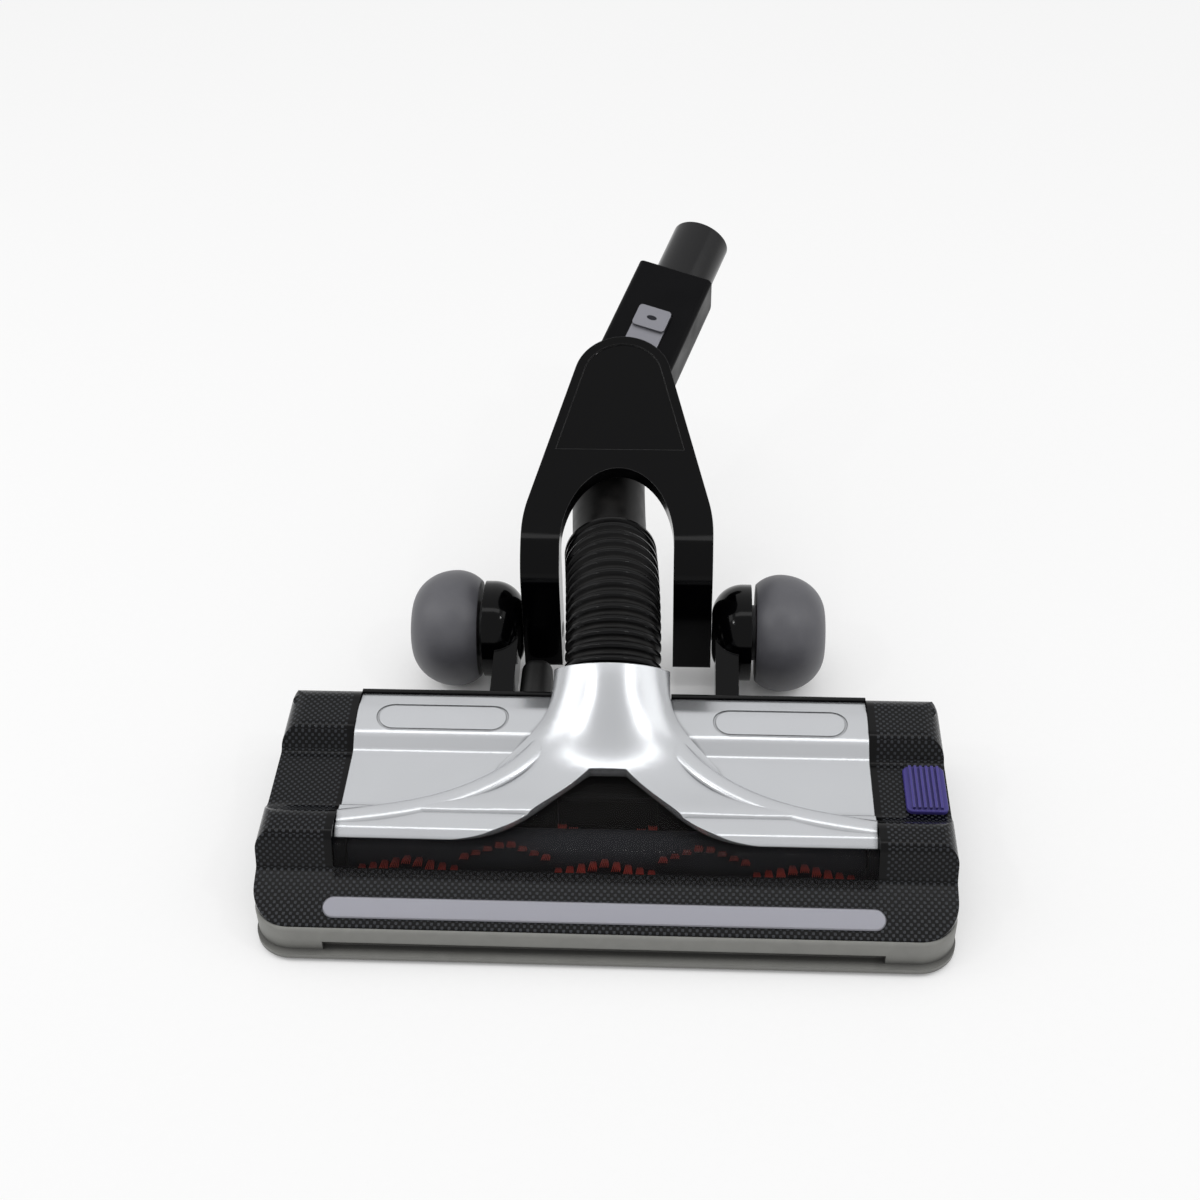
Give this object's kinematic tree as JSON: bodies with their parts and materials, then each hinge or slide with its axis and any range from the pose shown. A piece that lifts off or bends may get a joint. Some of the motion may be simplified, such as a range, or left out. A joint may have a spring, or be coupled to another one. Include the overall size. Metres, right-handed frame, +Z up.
{
  "type": "vacuum floor brush head",
  "caption": "Powered vacuum floor head with brush roll behind a smoked window, silver covers, ribbed hose, rear wheels, tilting fork and swivelling neck with wand spigot.",
  "frame": {"origin": "on the floor under the middle of the overall box", "axes": "+X to the right seen from the front, +Y back along the length, +Z up"},
  "size_m": [0.297, 0.3904, 0.1472],
  "materials": {
    "carbon_black": "gloss, fine woven pattern",
    "silver_plastic": "metallic paint",
    "smoked_clear": "clear, smoked",
    "lilac_silver": "metallic paint",
    "bumper_grey": "satin",
    "black_plastic": "satin",
    "wheel_grey": "satin",
    "hose_black": "satin",
    "purple_plastic": "satin",
    "steel": "turned",
    "brass": "plain",
    "bristle_red": "fibre",
    "core_grey": "moulded",
    "motor_can": "plain",
    "board_green": "lacquered"
  },
  "bodies": {
    "head": {"upper_housing": "carbon_black", "bumper": "bumper_grey", "base_plate": "black_plastic", "top_cover": "silver_plastic", "throat_fairing": "silver_plastic", "window": "smoked_clear", "front_strip": "lilac_silver", "hose_collar": "black_plastic", "cable_boot": "hose_black", "left_axle_arm": "black_plastic", "right_axle_arm": "black_plastic", "left_axle_pin": "steel", "right_axle_pin": "steel", "left_axle_clip": "steel", "right_axle_clip": "steel", "hose": "hose_black", "left_brush_bearing": "black_plastic", "right_brush_bearing": "black_plastic", "drive_belt": "hose_black", "motor": "motor_can", "motor_bracket": "black_plastic", "circuit_board": "board_green", "latch_spring": "steel", "left_roller_axle": "steel", "right_roller_axle": "steel", "base_screws": "steel"},
    "fork": {"fork": "black_plastic", "swivel_pin": "black_plastic"},
    "neck": {"neck_upper_shell": "black_plastic", "neck_lower_shell": "black_plastic", "spigot": "black_plastic", "hose_cuff": "black_plastic", "button_spring": "steel", "contact_pins": "brass"},
    "button": {"release_button": "lilac_silver"},
    "left_wheel": {"left_wheel": "wheel_grey"},
    "right_wheel": {"right_wheel": "wheel_grey"},
    "left_roller": {"left_roller": "wheel_grey"},
    "right_roller": {"right_roller": "wheel_grey"},
    "brush": {"brush_core": "core_grey", "bristles": "bristle_red", "brush_pulley": "core_grey"},
    "rotor": {"motor_rotor": "steel"},
    "latch": {"latch": "purple_plastic"}
  },
  "joints": [
    {"name": "neck_tilt", "type": "hinge", "parent": "head", "child": "fork", "pos_m": [0, -0.0118, 0.0285], "axis": [1, 0, 0], "range_deg": [-18, 50], "deforming": ["hose"]},
    {"name": "neck_swivel", "type": "hinge", "parent": "fork", "child": "neck", "pos_m": [0, 0.07942, 0.1208], "axis": [0, -0.3907, 0.9205], "range_deg": [-15, 55], "deforming": ["hose"]},
    {"name": "left_wheel_spin", "type": "hinge", "parent": "head", "child": "left_wheel", "pos_m": [0, -0.0118, 0.0285], "axis": [1, 0, 0], "continuous": true},
    {"name": "right_wheel_spin", "type": "hinge", "parent": "head", "child": "right_wheel", "pos_m": [0, -0.0118, 0.0285], "axis": [1, 0, 0], "continuous": true},
    {"name": "left_roller_spin", "type": "hinge", "parent": "head", "child": "left_roller", "pos_m": [-0.095, -0.1762, 0.007], "axis": [1, 0, 0], "continuous": true},
    {"name": "right_roller_spin", "type": "hinge", "parent": "head", "child": "right_roller", "pos_m": [0.095, -0.1762, 0.007], "axis": [1, 0, 0], "continuous": true},
    {"name": "brush_spin", "type": "hinge", "parent": "head", "child": "brush", "pos_m": [0, -0.1472, 0.0185], "axis": [1, 0, 0], "continuous": true},
    {"name": "motor_spin", "type": "hinge", "parent": "head", "child": "rotor", "pos_m": [-0.132, -0.0902, 0.022], "axis": [1, 0, 0], "continuous": true},
    {"name": "latch_slide", "type": "slide", "parent": "head", "child": "latch", "axis": [-1, 0, 0], "range_m": [0, 0.004], "stiffness_N_per_m": 600, "deforming": ["latch_spring"]},
    {"name": "button_press", "type": "slide", "parent": "neck", "child": "button", "axis": [0, 0.3907, -0.9205], "range_m": [0, 0.0025], "stiffness_N_per_m": 800, "deforming": ["button_spring"]}
  ],
  "couplings": [
    {"joint": "motor_spin", "follows": "brush_spin", "ratio": 1.6}
  ]
}
